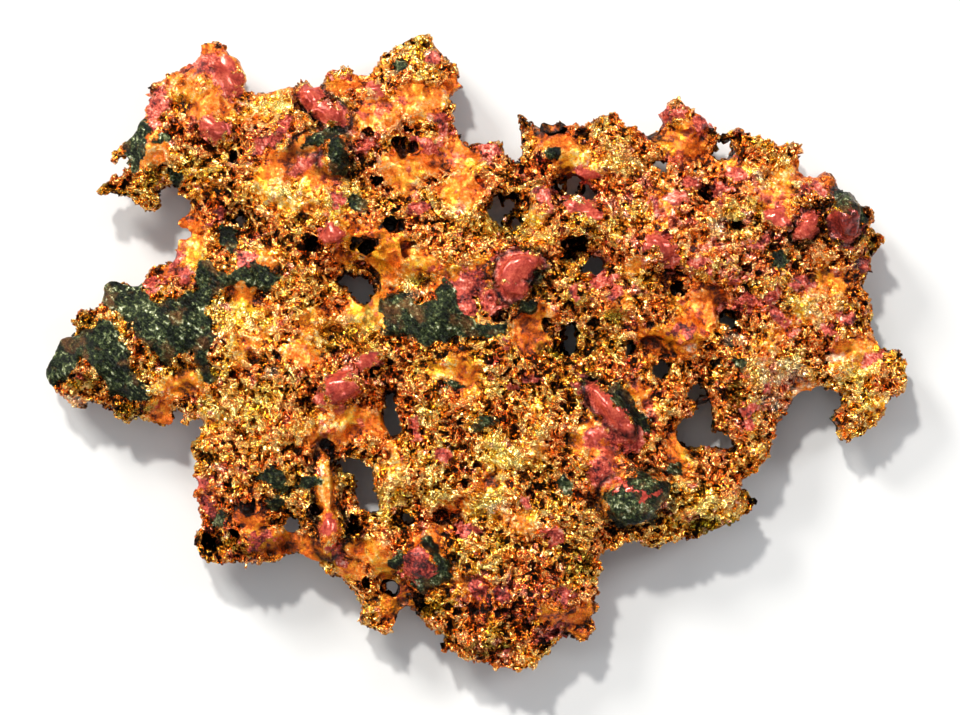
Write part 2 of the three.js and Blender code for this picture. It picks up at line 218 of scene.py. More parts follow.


# %% [markdown]
# ## Where things lie on the nugget
#
# Every plate, red skin and lump is given one by one: a middle, two half-widths and a turn, all in the
# nugget's own millimetres. The same few lists first shape the metal and later colour it, so a red lump is red
# exactly where it stands out.

# %% The smooth lumps: x, y, half-width, half-depth, turn in degrees, rise above the face
LUMPS = [
    # the red bean in the middle, open to the lower right
    (1.95, 3.95, 0.95, 0.62, 10, 0.45),
    (1.5, 3.3, 0.55, 0.85, 10, 0.40),
    (2.65, 4.15, 0.45, 0.38, -35, 0.35),
    (1.95, 2.8, 0.48, 0.40, 10, 0.40),
    # the ball near the east shoulder and the red roll beside it
    (17.0, 6.3, 0.85, 1.15, 0, 1.0),
    (15.2, 5.8, 0.8, 0.48, 50, 0.35),
    # the great dark lump in the south-east
    (7.25, -6.7, 1.55, 1.2, 8, 0.55),
    (6.35, -6.75, 0.7, 0.9, 0, 0.35),
    (8.2, -6.3, 0.75, 0.75, 0, 0.40),
    # the curled dark lump in the north
    (-7.35, 9.75, 0.9, 0.4, 15, 0.35),
    (-6.4, 9.4, 0.5, 0.75, 20, 0.40),
    (-6.5, 8.6, 0.65, 0.45, -20, 0.35),
    (-7.4, 8.55, 0.45, 0.45, 0, 0.25),
    # the two bright red drops above it
    (-7.55, 11.75, 0.55, 0.75, 40, 0.35),
    (-6.75, 11.05, 0.9, 0.55, -35, 0.35),
    # the orange ridge beside the window
    (-6.95, -6.3, 0.45, 1.6, 3, 0.45),
    (-6.75, -8.3, 0.6, 1.0, -8, 0.45),
    # smaller domes and rolls
    (-12.0, 10.3, 0.85, 0.55, -35, 0.30),
    (-6.5, 5.4, 0.65, 0.5, 0, 0.30),
    (-6.2, -1.6, 1.1, 0.75, 20, 0.25),
    (-4.95, -0.35, 0.7, 0.45, 20, 0.20),
    (-11.3, 12.9, 0.7, 1.0, 20, 0.25),
    (6.1, -2.5, 1.3, 0.55, -48, 0.35),
    (7.0, -3.6, 0.75, 0.4, -60, 0.30),
    (5.35, -3.9, 0.55, 0.4, 0, 0.25),
    (-10.7, 3.35, 0.8, 0.55, -20, 0.30),
    (5.1, 8.2, 0.8, 0.35, 20, 0.25),
    (4.85, 6.75, 0.9, 0.5, -40, 0.30),
    (-9.0, -5.9, 0.6, 0.4, 0, 0.20),
    (-7.7, -6.0, 0.4, 0.35, 0, 0.20),
    (4.4, 5.2, 0.6, 0.5, 0, 0.25),
    (8.4, 4.9, 0.75, 0.55, -40, 0.25),
    (13.7, 6.2, 0.7, 0.5, 10, 0.25),
    (-4.7, 12.1, 0.5, 0.4, 0, 0.20),
    (2.4, 2.0, 0.45, 0.35, 0, 0.25),
    (-6.3, 1.0, 1.1, 0.65, 0, 0.3),
]

# %% The pits: x, y, half-width, half-depth, turn in degrees, depth below the face
PITS = [
    (1.15, 6.6, 0.85, 0.95, 0, 2.6), (1.65, 6.05, 0.45, 0.45, 0, 3.2), (4.3, 7.75, 0.8, 0.5, 0, 2.2),
    (5.1, 7.35, 0.5, 0.4, 0, 3.0), (4.5, 4.75, 0.75, 0.7, 0, 2.2), (5.25, 4.05, 0.6, 0.5, 0, 3.0),
    (2.75, 3.45, 0.42, 0.38, 0, 0.9), (1.05, 1.6, 0.34, 0.3, 0, 1.2), (-3.3, 9.65, 0.6, 0.5, 0, 0.8),
    (-3.2, 10.25, 0.32, 0.3, 0, 0.9), (-4.95, 10.15, 0.24, 0.24, 0, 0.8), (-4.65, 8.0, 0.4, 0.38, 0, 0.8),
    (-3.9, 9.3, 0.25, 0.25, 0, 0.7), (-11.2, 9.0, 0.3, 0.55, 10, 0.8), (-8.8, 7.1, 0.22, 0.3, 0, 0.8),
    (-14.1, 8.4, 0.2, 0.45, 10, 0.8), (12.0, 5.78, 0.55, 0.24, 20, 0.8), (13.35, 8.85, 0.25, 0.25, 0, 0.7),
    (10.6, 7.55, 0.35, 0.5, 0, 0.9), (12.5, 3.9, 0.3, 0.3, 0, 0.7), (15.5, 3.3, 0.3, 0.25, 0, 0.7),
    (3.6, 10.3, 0.6, 0.35, 0, 0.8), (-12.35, -8.75, 0.5, 0.45, 0, 0.9), (-11.2, -8.4, 0.35, 0.3, 0, 0.7),
    (-10.4, -7.1, 0.3, 0.35, 0, 0.7), (-12.7, 5.45, 0.25, 0.25, 0, 0.7), (-5.6, -7.9, 0.45, 0.55, 0, 1.0),
    (-5.2, 5.0, 0.7, 0.55, 20, 1.0), (-3.9, 5.9, 0.6, 0.45, 0, 0.9), (-3.2, 4.7, 0.6, 0.4, 30, 0.8),
    (-7.6, 4.9, 0.5, 0.4, 0, 0.7), (-4.6, -0.95, 0.35, 0.35, 0, 0.9), (6.6, 4.2, 0.3, 0.3, 0, 0.7),
    (8.7, 5.4, 0.35, 0.2, 0, 0.6), (9.3, 2.85, 0.35, 0.4, 0, 0.8), (6.9, 0.4, 0.45, 0.4, 0, 0.8),
    (3.4, 1.3, 0.5, 0.35, 0, 0.7), (-5.0, -10.7, 0.35, 0.35, 0, 0.7), (-4.0, -10.95, 0.42, 0.42, 0, 1.1),
    (-2.6, -11.6, 0.3, 0.6, 20, 0.8), (3.6, -13.0, 0.35, 0.3, 0, 0.7), (1.6, -10.4, 0.3, 0.25, 0, 0.6),
    (-1.0, -9.6, 0.3, 0.3, 0, 0.6), (-0.6, -6.1, 0.45, 0.2, 25, 0.6), (-8.0, 6.1, 0.3, 0.25, 0, 0.6),
    (-6.8, -4.4, 0.5, 0.35, -20, 0.8),
]

# %% [markdown]
# ## Building the body up like clay
#
# The frame's solid is a merged copy, worked on in millimetres because the remesher can't see anything
# smaller than a tenth of one. Smooth lumps are added to it as squashed balls, sunk into the face, and
# the pits are cut with squashed balls too. A voxel remesh then melts the pile into one closed skin, as
# clay would, which a pile of joined meshes is not.

# %% A copy of the solid, and the balls that shape it


def make_active(piece):
    bpy.ops.object.select_all(action="DESELECT")
    piece.select_set(True)
    bpy.context.view_layer.objects.active = piece


def apply_modifier(piece, kind, **settings):
    """Adds one modifier with these settings to a piece and applies it."""
    make_active(piece)
    modifier = piece.modifiers.new(kind.lower(), kind)
    for name, setting in settings.items():
        setattr(modifier, name, setting)
    bpy.ops.object.modifier_apply(modifier=modifier.name)


def clay_copy(node_name):
    """A merged copy of a frame node, scaled up so that one unit is a millimetre."""
    clay = bpy.data.objects.new("nugget_body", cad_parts[node_name].data.copy())
    bpy.context.scene.collection.objects.link(clay)
    make_active(clay)
    bpy.ops.object.mode_set(mode="EDIT")
    bpy.ops.mesh.select_all(action="SELECT")
    bpy.ops.mesh.remove_doubles(threshold=1e-7)
    bpy.ops.object.mode_set(mode="OBJECT")
    clay.data.transform(Matrix.Scale(1.0 / unit, 4))
    return clay


def face_height(piece, x, y):
    """How high the piece's face is over a place, from a ray cast straight down."""
    hit, place, _, _ = piece.ray_cast(Vector((x, y, 20.0)), Vector((0.0, 0.0, -1.0)))
    return place.z if hit else MIDDLE_LEVEL


def uneven(piece, size, reach):
    """Pushes each vertex in or out from the origin by smooth noise, so that no ball stays a ball."""
    for vertex in piece.data.vertices:
        vertex.co *= 1.0 + reach * noise.noise(vertex.co * size + piece.location * 3.0)


def squashed_balls(name, balls, reach):
    """One object of all these balls. Each is (middle, half-sizes, turn in degrees)."""
    made = []
    for middle, halves, turn in balls:
        bpy.ops.mesh.primitive_ico_sphere_add(subdivisions=4, radius=1.0, location=middle)
        ball = bpy.context.object
        uneven(ball, 1.6, reach)
        ball.scale = halves
        ball.rotation_euler = (0.0, 0.0, math.radians(turn))
        made.append(ball)
    bpy.ops.object.select_all(action="DESELECT")
    for ball in made:
        ball.select_set(True)
    bpy.context.view_layer.objects.active = made[0]
    bpy.ops.object.join()
    bpy.ops.object.transform_apply(location=True, rotation=True, scale=True)
    joined = bpy.context.object
    joined.name = name
    return joined


def cut_away(piece, balls):
    apply_modifier(piece, "BOOLEAN", operation="DIFFERENCE", object=balls, solver="MANIFOLD")
    bpy.data.objects.remove(balls)


MIDDLE_LEVEL = 2.4
CLAY_VOXEL = 0.16
SKIN_VOXEL = 0.105
MOAT_WIDTH = 0.32  # the crack round a lump that stands well out of the face
MOAT_DEPTH = 0.45
PROUD = 0.35
PIT_SIZE = 0.8
MOAT_LIFT = 0.15  # how far the middles of the balls lie above or below the face
LUMP_SINK = 0.3
PIT_LIFT = 0.1

body = clay_copy("copper_nugget")
levels = [face_height(body, lump[0], lump[1]) for lump in LUMPS]
moats = squashed_balls(
    "moats",
    [
        ((x, y, level + MOAT_LIFT), (half_x + MOAT_WIDTH, half_y + MOAT_WIDTH, MOAT_DEPTH + MOAT_LIFT), turn)
        for (x, y, half_x, half_y, turn, rise), level in zip(LUMPS, levels)
        if rise >= PROUD
    ],
    reach=0.15,
)
lumps = squashed_balls(
    "lumps",
    [
        ((x, y, level - LUMP_SINK), (half_x, half_y, rise + LUMP_SINK), turn)
        for (x, y, half_x, half_y, turn, rise), level in zip(LUMPS, levels)
    ],
    reach=0.2,
)
pits = squashed_balls(
    "pits",
    [
        ((x, y, face_height(body, x, y) + PIT_LIFT), (PIT_SIZE * half_x, PIT_SIZE * half_y, depth), turn)
        for x, y, half_x, half_y, turn, depth in PITS
    ],
    reach=0.7,
)
cut_away(body, moats)
bpy.ops.object.select_all(action="DESELECT")
lumps.select_set(True)
body.select_set(True)
bpy.context.view_layer.objects.active = body
bpy.ops.object.join()
apply_modifier(body, "REMESH", mode="VOXEL", voxel_size=CLAY_VOXEL)
cut_away(body, pits)
apply_modifier(body, "REMESH", mode="VOXEL", voxel_size=SKIN_VOXEL)
print(f"the clay has {len(body.data.vertices)} vertices")

# %% [markdown]
# ## The map of the finishes
#
# A worn plate has a cornered outline, so it is given by its corners. A red skin or a stretch of brighter,
# browner or smoother copper is an oval. For each finish, every vertex gets how deep it lies inside the
# nearest such place: 0.5 on the border, more inside it. The finish later adds noise to that number before it
# asks which side of the border it is on, so the borders come out ragged and stay sharp at any distance.

# %% The dark worn plates, by their corners
PLATES = [
    # the great west plate
    [(-17.6, 3.4), (-17.0, 3.8), (-16.2, 3.7), (-15.6, 3.5), (-15.3, 2.9), (-15.0, 2.5), (-14.4, 2.3),
     (-13.8, 2.4), (-13.0, 2.9), (-12.8, 3.9), (-12.4, 4.3), (-11.3, 3.6), (-10.3, 4.3), (-9.6, 4.0),
     (-9.2, 3.3), (-9.6, 2.9), (-11.0, 3.1), (-12.2, 2.6), (-12.5, 2.1), (-12.0, 1.2), (-12.3, 0.0),
     (-12.0, -1.4), (-12.6, -1.3), (-12.9, -0.2), (-13.6, 0.1), (-14.3, -0.6), (-15.3, 0.6), (-15.9, 1.4),
     (-17.0, 2.0), (-17.7, 2.6)],
    # the plate at the west tip
    [(-19.6, 1.0), (-18.6, 0.9), (-18.2, 1.1), (-17.0, 1.5), (-16.6, 1.3), (-15.9, 0.1), (-15.9, -0.7),
     (-15.1, -1.6), (-15.1, -2.0), (-15.6, -2.15), (-16.9, -2.0), (-17.4, -0.9), (-18.3, -0.2), (-18.6, -0.9),
     (-19.3, -1.5), (-20.5, -1.2), (-19.9, 0.0)],
    # the plate in the middle
    [(-4.4, 2.4), (-3.4, 2.95), (-2.6, 2.2), (-2.0, 2.4), (-1.6, 3.2), (-0.8, 3.0), (-0.9, 1.7), (-0.1, 1.4),
     (1.4, 1.4), (1.3, 0.8), (0.2, 0.8), (-1.2, 0.6), (-2.3, 0.35), (-3.3, 0.7), (-4.3, 0.9)],
    # the strip beside the brown skin in the south
    [(-2.6, -8.3), (-1.9, -8.7), (-1.2, -9.8), (-1.3, -10.5), (-2.5, -11.0), (-3.1, -10.6), (-1.9, -9.8),
     (-2.3, -9.0)],
    # the great dark lump
    [(5.8, -6.5), (6.6, -6.2), (7.0, -5.6), (7.6, -5.4), (8.1, -5.8), (8.8, -5.9), (8.8, -6.7), (8.4, -7.3),
     (7.9, -7.9), (6.9, -8.0), (6.1, -7.6), (5.8, -7.0)],
]

# %% Smaller dark places: x, y, half-width, half-depth, turn in degrees
DARK_SPOTS = [
    (-7.2, 9.85, 0.95, 0.4, 15), (-6.25, 9.2, 0.45, 0.8, 20), (-6.4, 8.5, 0.5, 0.35, -20),
    (-15.7, 9.3, 0.5, 0.85, 0), (-15.8, 10.2, 0.9, 0.4, 35), (-14.6, 9.9, 0.4, 0.3, 0),
    (-13.8, 8.0, 0.3, 0.4, 0), (17.05, 6.95, 0.7, 0.75, 0), (17.6, 6.3, 0.3, 0.5, 0),
    (6.7, -2.2, 0.9, 0.45, -42), (7.5, -3.1, 0.55, 0.4, -60), (-9.3, -5.85, 0.8, 0.42, -12),
    (-7.7, -6.0, 0.5, 0.33, 0), (-9.3, -6.9, 0.45, 0.3, 0), (-11.9, -7.6, 0.45, 0.35, 30),
    (-11.4, 5.3, 0.45, 0.6, 30), (-9.85, 3.5, 0.65, 0.55, 0), (3.6, 9.2, 0.45, 0.35, 0),
    (2.4, 2.0, 0.45, 0.35, 0), (2.75, 3.45, 0.4, 0.36, 0), (14.0, 4.3, 0.45, 0.35, 0),
    (-5.35, 6.9, 0.4, 0.3, 0), (0.4, -3.2, 0.5, 0.3, 0), (-0.9, -1.4, 0.45, 0.25, 0),
    (12.2, -0.6, 0.35, 0.3, 0), (9.2, -5.4, 0.4, 0.3, 0), (4.0, -6.2, 0.35, 0.45, 0),
    (-3.6, 13.3, 0.4, 0.3, 0), (-3.7, -9.5, 0.4, 0.4, 0),
]

# %% The red oxide skins: x, y, half-width, half-depth, turn in degrees
RED_SKINS = [
    (1.95, 3.95, 1.15, 0.85, 10), (1.5, 3.3, 0.75, 1.05, 10), (-0.4, 3.0, 0.6, 1.0, 0),
    (0.7, 2.4, 0.5, 0.75, 15), (-0.4, 2.2, 0.5, 0.5, 0), (17.0, 5.75, 0.9, 0.85, 0),
    (15.2, 5.8, 0.85, 0.5, 50), (13.7, 6.2, 0.65, 0.5, 10), (-7.6, 11.7, 0.55, 0.75, 40),
    (-6.75, 11.05, 0.95, 0.55, -35), (-12.5, 13.4, 0.75, 0.5, 0), (-11.6, 12.9, 0.7, 0.7, 20),
    (-11.3, 12.2, 0.45, 0.4, 0), (-12.0, 10.3, 0.75, 0.5, -35), (-14.8, 11.4, 0.55, 0.6, 0),
    (-14.9, 10.7, 0.35, 0.3, 0), (-9.7, 9.7, 0.65, 0.4, 10), (-8.9, 10.2, 0.4, 0.35, 0),
    (-6.5, 13.0, 0.65, 0.3, 0), (-4.6, 12.1, 0.4, 0.35, 0), (-5.1, 9.4, 0.4, 0.45, 0),
    (-2.2, 9.5, 0.65, 0.45, -20), (-1.9, 13.5, 0.35, 0.35, 0), (0.6, 9.5, 0.7, 0.35, 0),
    (-1.7, 10.4, 0.4, 0.5, 0), (-2.7, 6.6, 0.4, 0.4, 0), (-8.0, 8.6, 0.4, 0.5, 0), (-7.3, 8.9, 0.3, 0.4, 0),
    (-6.6, 5.4, 0.6, 0.45, 0), (-6.3, 6.9, 0.35, 0.4, 0), (5.0, 8.2, 0.75, 0.4, 20),
    (4.9, 6.8, 0.75, 0.45, -40), (3.2, 7.1, 0.4, 0.5, 0), (5.5, 6.3, 0.5, 0.25, -20),
    (8.3, 5.2, 0.6, 0.45, -30), (8.9, 4.4, 0.7, 0.5, -30), (8.1, 6.9, 0.35, 0.3, 0),
    (9.3, 7.2, 0.55, 0.4, 0), (9.9, 7.9, 0.45, 0.4, 20), (11.9, 8.3, 0.35, 0.5, -20),
    (11.2, 7.5, 0.35, 0.5, -30), (8.7, 11.0, 0.35, 0.4, 0), (9.4, 11.2, 0.35, 0.35, 0),
    (10.6, 10.5, 0.45, 0.3, 20), (5.6, 3.6, 0.4, 0.9, -15), (6.3, 2.9, 0.35, 0.6, -10),
    (10.2, 4.0, 0.5, 0.4, 0), (11.9, 3.2, 0.4, 0.35, 0), (12.6, 2.35, 0.7, 0.22, 8),
    (13.6, 2.6, 0.5, 0.25, 10), (14.0, 1.5, 0.8, 0.22, -35), (14.9, 3.1, 0.5, 0.35, 0),
    (17.2, 1.6, 0.45, 0.3, 0), (18.2, -0.1, 0.5, 0.25, 0), (16.2, 1.0, 0.35, 0.25, 0),
    (12.6, -2.5, 0.55, 0.35, 0), (12.5, -3.4, 0.45, 0.35, 30), (13.4, -1.6, 0.35, 0.3, 0),
    (5.6, -2.1, 1.15, 0.65, -48), (6.6, -3.4, 1.1, 0.75, -45), (7.2, -4.2, 0.5, 0.4, 0),
    (5.3, -4.0, 0.6, 0.45, 0), (5.75, -5.4, 0.5, 0.8, 10), (6.65, -6.25, 0.55, 0.33, 20),
    (7.75, -6.5, 0.65, 0.34, -12), (-4.95, -0.35, 0.65, 0.4, 20), (-6.2, -1.6, 1.0, 0.65, 20),
    (-7.1, -2.1, 0.35, 0.35, 0), (-14.9, 3.2, 0.45, 0.35, 0), (-13.4, 3.5, 0.5, 0.45, 0),
    (-13.9, 4.6, 0.4, 0.5, 0), (-10.6, 4.2, 0.65, 0.5, 0), (-11.9, 6.4, 0.35, 0.3, 0),
    (-6.8, -8.0, 0.4, 0.6, 0), (-6.4, -9.3, 0.35, 0.5, 0), (-12.4, -7.1, 0.4, 0.5, 0),
    (-12.6, -6.0, 0.35, 0.35, 0), (-10.0, -8.6, 0.6, 0.35, 0), (-2.7, -9.8, 0.75, 0.9, 20),
    (-0.6, -8.2, 0.6, 0.3, 0), (3.6, -8.4, 0.5, 0.35, 30), (3.5, -12.9, 0.6, 0.3, 30),
    (1.2, -11.2, 0.45, 0.35, 0), (4.1, -11.2, 0.45, 0.35, 0), (0.0, -10.8, 0.35, 0.5, 0),
    (2.4, -6.9, 0.4, 0.3, 0), (-2.9, -3.4, 0.3, 0.45, 0), (-1.5, -4.8, 0.4, 0.3, 0),
    (2.2, -1.4, 0.55, 0.3, 10), (4.6, 2.9, 0.35, 0.45, 0), (9.6, 1.0, 0.45, 0.35, 0),
    (12.9, 4.9, 0.45, 0.3, 0), (15.6, 7.6, 0.4, 0.35, 0), (17.7, 3.9, 0.3, 0.4, 0),
]

# %% Smooth copper, gold and brown stretches, in the same order
SMOOTH_COPPER = [
    (-10.2, 11.2, 1.7, 0.6, 8), (-2.6, 11.6, 1.3, 0.9, 0), (-3.5, 8.4, 0.9, 1.3, 20),
    (-7.2, 1.2, 1.1, 0.9, 0), (-6.85, -6.9, 0.45, 2.2, 3), (-13.6, -1.5, 1.1, 0.6, 10),
    (-7.0, -3.6, 1.6, 0.5, -15), (-0.7, 7.4, 1.0, 0.9, 0), (-5.0, -9.2, 1.2, 0.6, -20),
    (-8.0, 0.0, 0.9, 0.6, 0), (-1.5, -0.9, 0.9, 0.4, 0), (-5.3, 7.3, 0.5, 0.4, 0),
    (-10.4, -7.6, 0.9, 0.7, 0), (-14.3, 3.9, 0.5, 0.4, 0), (7.3, 4.0, 0.4, 0.5, 0),
    (-6.2, 4.4, 0.4, 0.6, 30), (13.9, 7.3, 0.7, 0.5, 0), (-9.6, 8.1, 0.4, 1.0, -30),
    (2.7, -4.5, 0.7, 0.5, 0), (-3.8, -5.4, 0.4, 1.3, 10), (-12.4, 11.4, 1.2, 0.6, 30),
    (-6.2, 12.4, 1.3, 0.4, 10), (-4.5, 11.0, 1.1, 0.8, -30), (-8.9, 8.9, 0.9, 0.5, 0),
    (-9.3, 12.3, 0.9, 0.4, 10), (-2.3, 9.0, 0.8, 0.9, 20), (-1.1, 12.4, 0.6, 0.5, 0),
    (-4.9, 13.2, 0.6, 0.4, 0), (-5.9, -10.0, 0.9, 0.6, -40), (-4.2, -10.0, 0.7, 0.5, -30),
    (-9.8, -8.4, 0.8, 0.5, 0), (-12.2, -3.2, 0.7, 0.4, 0),
]

GOLD = [
    (-6.0, 7.0, 1.6, 0.8, 10), (1.8, 5.4, 2.0, 0.7, -5), (6.7, 8.8, 1.5, 0.9, 0), (11.4, 6.2, 1.6, 0.9, 10),
    (12.9, 7.9, 0.9, 0.5, 0), (-11.0, -2.8, 2.2, 1.6, 0), (0.8, -7.0, 1.6, 0.8, 10),
    (-2.9, 13.6, 1.3, 0.9, 0), (17.5, -1.4, 1.2, 1.0, 0), (-9.8, 11.3, 1.6, 0.5, 10),
    (-10.2, 1.4, 1.4, 0.9, 0), (-3.6, -6.2, 0.7, 1.2, 10), (5.8, 5.5, 1.0, 0.7, 0),
    (-8.6, 7.4, 1.0, 0.7, 0), (1.6, -4.6, 1.5, 1.1, 0), (10.4, -7.0, 1.6, 0.7, 0),
    (-2.0, -13.2, 1.0, 0.5, 0), (2.2, -13.9, 1.3, 0.5, 0), (15.9, 2.2, 1.2, 0.8, 0),
    (11.6, 5.8, 1.2, 0.5, 10), (7.0, 6.4, 1.0, 0.6, 0), (-11.7, 1.6, 0.6, 1.2, 0),
    (-1.4, -6.6, 1.0, 0.5, 10), (-2.5, 3.3, 1.2, 0.4, 10), (13.6, -1.0, 1.3, 0.8, 0),
    (14.6, -0.6, 0.9, 0.7, 0), (-0.2, -8.9, 0.7, 0.4, 0), (-8.0, -3.0, 1.4, 0.7, 0),
    (-6.4, 1.0, 1.4, 0.9, 0),
]

BROWN = [
    (-11.2, -7.4, 2.0, 1.9, 0), (2.0, -12.0, 3.0, 2.0, 0), (9.6, 9.8, 1.6, 1.2, 0),
    (3.6, -0.4, 2.4, 1.2, 0), (-1.2, 0.0, 2.6, 0.6, 0), (8.8, 0.6, 1.8, 1.5, 0),
    (-3.0, -11.6, 1.8, 1.0, 20), (10.6, -8.1, 2.4, 0.5, 5), (17.6, 3.6, 0.9, 1.6, 0),
    (-16.6, -2.3, 1.9, 0.6, 5), (-12.0, 7.0, 1.0, 1.6, 0), (-16.0, 7.6, 1.6, 0.8, 10),
    (-4.4, 5.4, 1.6, 0.9, 0), (6.4, -7.9, 1.2, 0.6, 0), (12.8, 9.2, 1.2, 0.7, 0), (3.4, 10.2, 1.5, 0.5, 0),
    (-9.6, -9.2, 2.6, 0.5, 0), (13.0, -5.6, 0.9, 1.2, 0), (2.6, -9.9, 1.6, 0.7, 0),
    (-17.9, 1.9, 1.0, 0.9, 0), (17.1, 5.9, 1.0, 1.0, 0), (-2.7, -9.8, 1.1, 1.2, 20),
    (0.4, 3.6, 0.6, 0.5, 0),
]

# %% Pale, almost white places, and olive ones, in the same order
PALE = [
    (-18.4, -2.25, 0.7, 0.3, -20), (-15.75, 8.6, 0.4, 0.25, 30), (12.9, 8.1, 0.6, 0.35, 0),
    (11.1, 5.9, 0.7, 0.4, 0), (5.0, 6.7, 0.2, 0.7, -35), (14.0, -0.9, 1.6, 0.9, 0),
    (13.6, -2.4, 0.6, 0.5, 0), (11.6, 0.7, 0.8, 0.4, 20), (14.9, -2.0, 0.4, 0.4, 0),
    (-13.6, -2.9, 0.3, 0.4, 0), (0.9, -7.2, 0.7, 0.3, 20), (-9.5, -1.0, 0.5, 0.4, 0),
    (16.6, -0.2, 0.4, 0.3, 0), (4.4, 7.0, 0.5, 0.25, 30), (-3.0, 2.75, 0.5, 0.2, 0),
    (4.6, -1.6, 0.4, 0.3, 0), (9.9, 0.2, 0.35, 0.3, 0),
]

OLIVE = [
    (-15.6, -2.6, 1.4, 0.4, 5), (-18.1, -1.3, 0.8, 0.6, 0), (-17.9, 1.5, 0.6, 0.4, 0),
    (-2.6, -11.9, 1.3, 0.6, 15), (0.6, -13.6, 1.4, 0.5, 0), (10.9, -8.0, 2.2, 0.5, 5),
    (12.9, -6.2, 0.8, 1.0, 0), (-9.9, -8.9, 2.6, 0.5, 5), (4.8, -9.6, 0.9, 0.9, 0), (2.9, 2.6, 0.5, 0.3, 0),
    (-16.9, 7.5, 0.8, 0.4, 10), (-14.9, 8.2, 0.6, 0.8, 0), (8.0, -3.4, 0.5, 0.7, 0),
    (3.3, 0.2, 1.0, 0.5, 0), (6.4, 1.6, 0.7, 0.6, 0), (-12.2, -0.9, 0.7, 0.8, 0), (-2.4, 3.4, 0.8, 0.35, 0),
    (18.3, 4.6, 0.4, 1.2, 0), (-5.0, 1.6, 0.4, 0.7, 0), (11.9, -1.9, 0.5, 0.9, 0),
]

# %% Where the copper blushes red in many small spots
BLUSHING = [
    (11.0, 5.5, 7.0, 4.5, -20), (-13.0, 12.0, 3.0, 2.5, 0), (-6.0, 10.5, 4.5, 3.0, 0),
    (2.0, -11.8, 3.5, 2.4, 0), (13.5, -1.5, 3.0, 2.5, 0), (-6.5, -1.0, 2.5, 2.0, 0),
    (-14.5, 3.7, 1.2, 0.9, 0), (6.5, -4.0, 2.0, 3.0, 0), (-11.5, -7.5, 2.2, 2.0, 0),
    (0.0, 8.5, 3.0, 2.0, 0),
]

# %% Painting the map onto a mesh
BORDER_WIDTH = 0.6  # the map runs from 0 to 1 over this many millimetres round a border
WARP_REACH = 0.10
FLOW_SCALE = 0.42  # stretches where the copper flowed and set smooth: how many to a millimetre
FLOW_LEVEL = 0.22
UNDERSIDE_LEVEL = 1.7  # below this the skin belongs to the underside


def warped(places):
    """Places moved a little, by smooth waves, so that no oval's border stays an ellipse."""
    x, y = places[:, 0], places[:, 1]
    shift_x = np.sin(3.1 * y + 1.3 * x) + 0.6 * np.sin(6.7 * y - 4.1 * x + 1.0)
    shift_y = np.sin(2.7 * x - 1.7 * y + 2.0) + 0.6 * np.sin(5.9 * x + 5.3 * y)
    return np.stack([x + WARP_REACH * shift_x, y + WARP_REACH * shift_y], axis=1)


def depth_in_oval(places, oval):
    x, y, half_x, half_y, turn = oval
    angle = math.radians(turn)
    across, along = places[:, 0] - x, places[:, 1] - y
    u = (across * math.cos(angle) + along * math.sin(angle)) / half_x
    v = (along * math.cos(angle) - across * math.sin(angle)) / half_y
    return (1.0 - np.hypot(u, v)) * min(half_x, half_y)


def deepest(places, ovals):
    """How deep each place lies in the nearest of these ovals."""
    return np.max([depth_in_oval(places, oval) for oval in ovals], axis=0)


def depth_in_corners(places, corners):
    """Signed distance to a cornered outline, positive inside."""
    nearest = np.full(len(places), np.inf)
    inside = np.zeros(len(places), bool)
    for start, end in zip(corners, corners[1:] + corners[:1]):
        a, b = np.array(start), np.array(end)
        along = np.clip(((places - a) @ (b - a)) / ((b - a) @ (b - a)), 0.0, 1.0)
        nearest = np.minimum(nearest, np.hypot(*(places - a - along[:, None] * (b - a)).T))
        crosses = (a[1] > places[:, 1]) != (b[1] > places[:, 1])
        rise = b[1] - a[1] if b[1] != a[1] else 1.0
        inside ^= crosses & (places[:, 0] < a[0] + (places[:, 1] - a[1]) * (b[0] - a[0]) / rise)
    return np.where(inside, nearest, -nearest)


def to_map(depth, width=BORDER_WIDTH):
    return np.clip(0.5 + depth / width, 0.0, 1.0)


def soft_map(places, ovals):
    """1 in the middle of each oval, fading to 0 a little past its border."""
    depth = np.max([depth_in_oval(places, oval) / min(oval[2:4]) for oval in ovals], axis=0)
    return np.clip(0.35 + depth, 0.0, 1.0)


def store(mesh, name, values):
    if name in mesh.attributes:
        mesh.attributes.remove(mesh.attributes[name])
    layer = mesh.attributes.new(name, "FLOAT", "POINT")
    layer.data.foreach_set("value", np.ascontiguousarray(values, np.float32))


